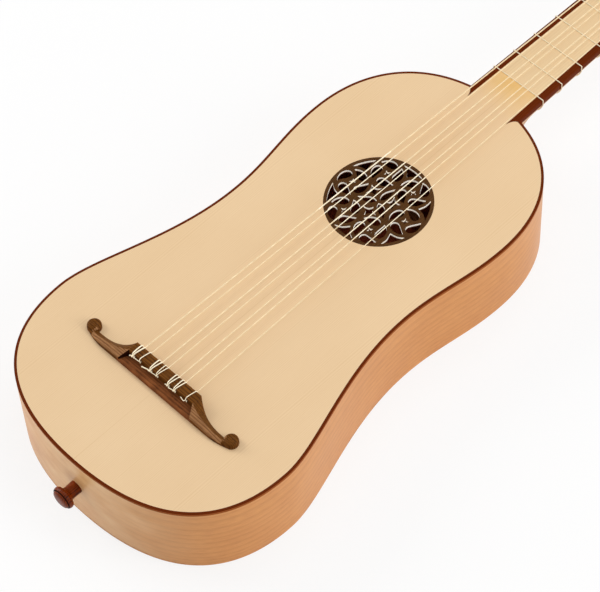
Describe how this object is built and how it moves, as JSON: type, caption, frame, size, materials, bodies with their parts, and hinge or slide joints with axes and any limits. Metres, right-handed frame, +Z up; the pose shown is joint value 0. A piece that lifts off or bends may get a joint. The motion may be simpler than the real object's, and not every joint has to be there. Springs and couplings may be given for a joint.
{
  "type": "renaissance guitar",
  "caption": "Small waisted guitar with paired gut strings tied to a scrolled bridge, a pierced wooden rose, tied frets on a flush fingerboard, and a flat peghead with turning wooden pegs.",
  "frame": {"origin": "middle of the flat back's outer face, half way along the body, on the centre line", "axes": "+Z up out of the soundboard with the guitar lying on its back, +Y along the centre line to the peghead, +X to the treble side"},
  "size_m": [0.199, 0.7811, 0.0714],
  "materials": {
    "spruce": "satin varnish",
    "rib_wood": "satin varnish",
    "inner_wood": "raw",
    "neck_wood": "satin varnish",
    "fingerboard_wood": "satin",
    "dark_wood": "satin",
    "walnut": "satin",
    "rose_brown": "matt",
    "parchment": "matt",
    "pin_wood": "polished",
    "peg_wood": "polished",
    "bone": "polished",
    "gut": "matt"
  },
  "bodies": {
    "guitar": {"back": "rib_wood", "back_bar_1": "inner_wood", "back_bar_2": "inner_wood", "back_bar_3": "inner_wood", "back_lining_bass": "inner_wood", "back_lining_treble": "inner_wood", "binding_bass": "dark_wood", "binding_treble": "dark_wood", "bridge": "walnut", "end_pin": "pin_wood", "fingerboard": "fingerboard_wood", "fingerboard_edge_bass": "dark_wood", "fingerboard_edge_treble": "dark_wood", "neck": "neck_wood", "neck_block": "inner_wood", "nut": "bone", "peghead": "neck_wood", "peghead_veneer": "dark_wood", "rib_bass": "rib_wood", "rib_treble": "rib_wood", "rose_core": "parchment", "rose_face": "rose_brown", "soundboard_bar_lower": "inner_wood", "soundboard_bar_upper": "inner_wood", "soundboard_bass": "spruce", "soundboard_lining_bass": "inner_wood", "soundboard_lining_treble": "inner_wood", "soundboard_treble": "spruce", "string_1": "gut", "string_2": "gut", "string_3": "gut", "string_4": "gut", "string_5": "gut", "string_6": "gut", "string_7": "gut", "tail_block": "inner_wood"},
    "tuning_peg_1": {"peg_1": "peg_wood", "winding_1": "gut"},
    "tuning_peg_2": {"peg_2": "peg_wood", "winding_2": "gut"},
    "tuning_peg_3": {"peg_3": "peg_wood", "winding_3": "gut"},
    "tuning_peg_4": {"peg_4": "peg_wood", "winding_4": "gut"},
    "tuning_peg_5": {"peg_5": "peg_wood", "winding_5": "gut"},
    "tuning_peg_6": {"peg_6": "peg_wood", "winding_6": "gut"},
    "tuning_peg_7": {"peg_7": "peg_wood", "winding_7": "gut"},
    "tied_fret_1": {"fret_1": "gut"},
    "tied_fret_2": {"fret_2": "gut"},
    "tied_fret_3": {"fret_3": "gut"},
    "tied_fret_4": {"fret_4": "gut"},
    "tied_fret_5": {"fret_5": "gut"},
    "tied_fret_6": {"fret_6": "gut"},
    "tied_fret_7": {"fret_7": "gut"},
    "tied_fret_8": {"fret_8": "gut"},
    "tied_fret_9": {"fret_9": "gut"},
    "tied_fret_10": {"fret_10": "gut"}
  },
  "joints": [
    {"name": "peg_1_turn", "type": "hinge", "parent": "guitar", "child": "tuning_peg_1", "pos_m": [-0.017, 0.4776, 0.05708], "axis": [0, 0.1219, 0.9925], "continuous": true},
    {"name": "peg_2_turn", "type": "hinge", "parent": "guitar", "child": "tuning_peg_2", "pos_m": [-0.017, 0.50142, 0.05415], "axis": [0, 0.1219, 0.9925], "continuous": true},
    {"name": "peg_3_turn", "type": "hinge", "parent": "guitar", "child": "tuning_peg_3", "pos_m": [-0.017, 0.52524, 0.05122], "axis": [0, 0.1219, 0.9925], "continuous": true},
    {"name": "peg_4_turn", "type": "hinge", "parent": "guitar", "child": "tuning_peg_4", "pos_m": [-0.017, 0.54906, 0.0483], "axis": [0, 0.1219, 0.9925], "continuous": true},
    {"name": "peg_5_turn", "type": "hinge", "parent": "guitar", "child": "tuning_peg_5", "pos_m": [0.017, 0.53715, 0.04976], "axis": [0, 0.1219, 0.9925], "continuous": true},
    {"name": "peg_6_turn", "type": "hinge", "parent": "guitar", "child": "tuning_peg_6", "pos_m": [0.017, 0.51333, 0.05269], "axis": [0, 0.1219, 0.9925], "continuous": true},
    {"name": "peg_7_turn", "type": "hinge", "parent": "guitar", "child": "tuning_peg_7", "pos_m": [0.017, 0.48951, 0.05561], "axis": [0, 0.1219, 0.9925], "continuous": true},
    {"name": "fret_1_shift", "type": "slide", "parent": "guitar", "child": "tied_fret_1", "axis": [0, 1, 0], "range_m": [-0.002, 0.002]},
    {"name": "fret_2_shift", "type": "slide", "parent": "guitar", "child": "tied_fret_2", "axis": [0, 1, 0], "range_m": [-0.002, 0.002]},
    {"name": "fret_3_shift", "type": "slide", "parent": "guitar", "child": "tied_fret_3", "axis": [0, 1, 0], "range_m": [-0.002, 0.002]},
    {"name": "fret_4_shift", "type": "slide", "parent": "guitar", "child": "tied_fret_4", "axis": [0, 1, 0], "range_m": [-0.002, 0.002]},
    {"name": "fret_5_shift", "type": "slide", "parent": "guitar", "child": "tied_fret_5", "axis": [0, 1, 0], "range_m": [-0.002, 0.002]},
    {"name": "fret_6_shift", "type": "slide", "parent": "guitar", "child": "tied_fret_6", "axis": [0, 1, 0], "range_m": [-0.002, 0.002]},
    {"name": "fret_7_shift", "type": "slide", "parent": "guitar", "child": "tied_fret_7", "axis": [0, 1, 0], "range_m": [-0.002, 0.002]},
    {"name": "fret_8_shift", "type": "slide", "parent": "guitar", "child": "tied_fret_8", "axis": [0, 1, 0], "range_m": [-0.002, 0.002]},
    {"name": "fret_9_shift", "type": "slide", "parent": "guitar", "child": "tied_fret_9", "axis": [0, 1, 0], "range_m": [-0.002, 0.002]},
    {"name": "fret_10_shift", "type": "slide", "parent": "guitar", "child": "tied_fret_10", "axis": [0, 1, 0], "range_m": [-0.002, 0.002]}
  ]
}
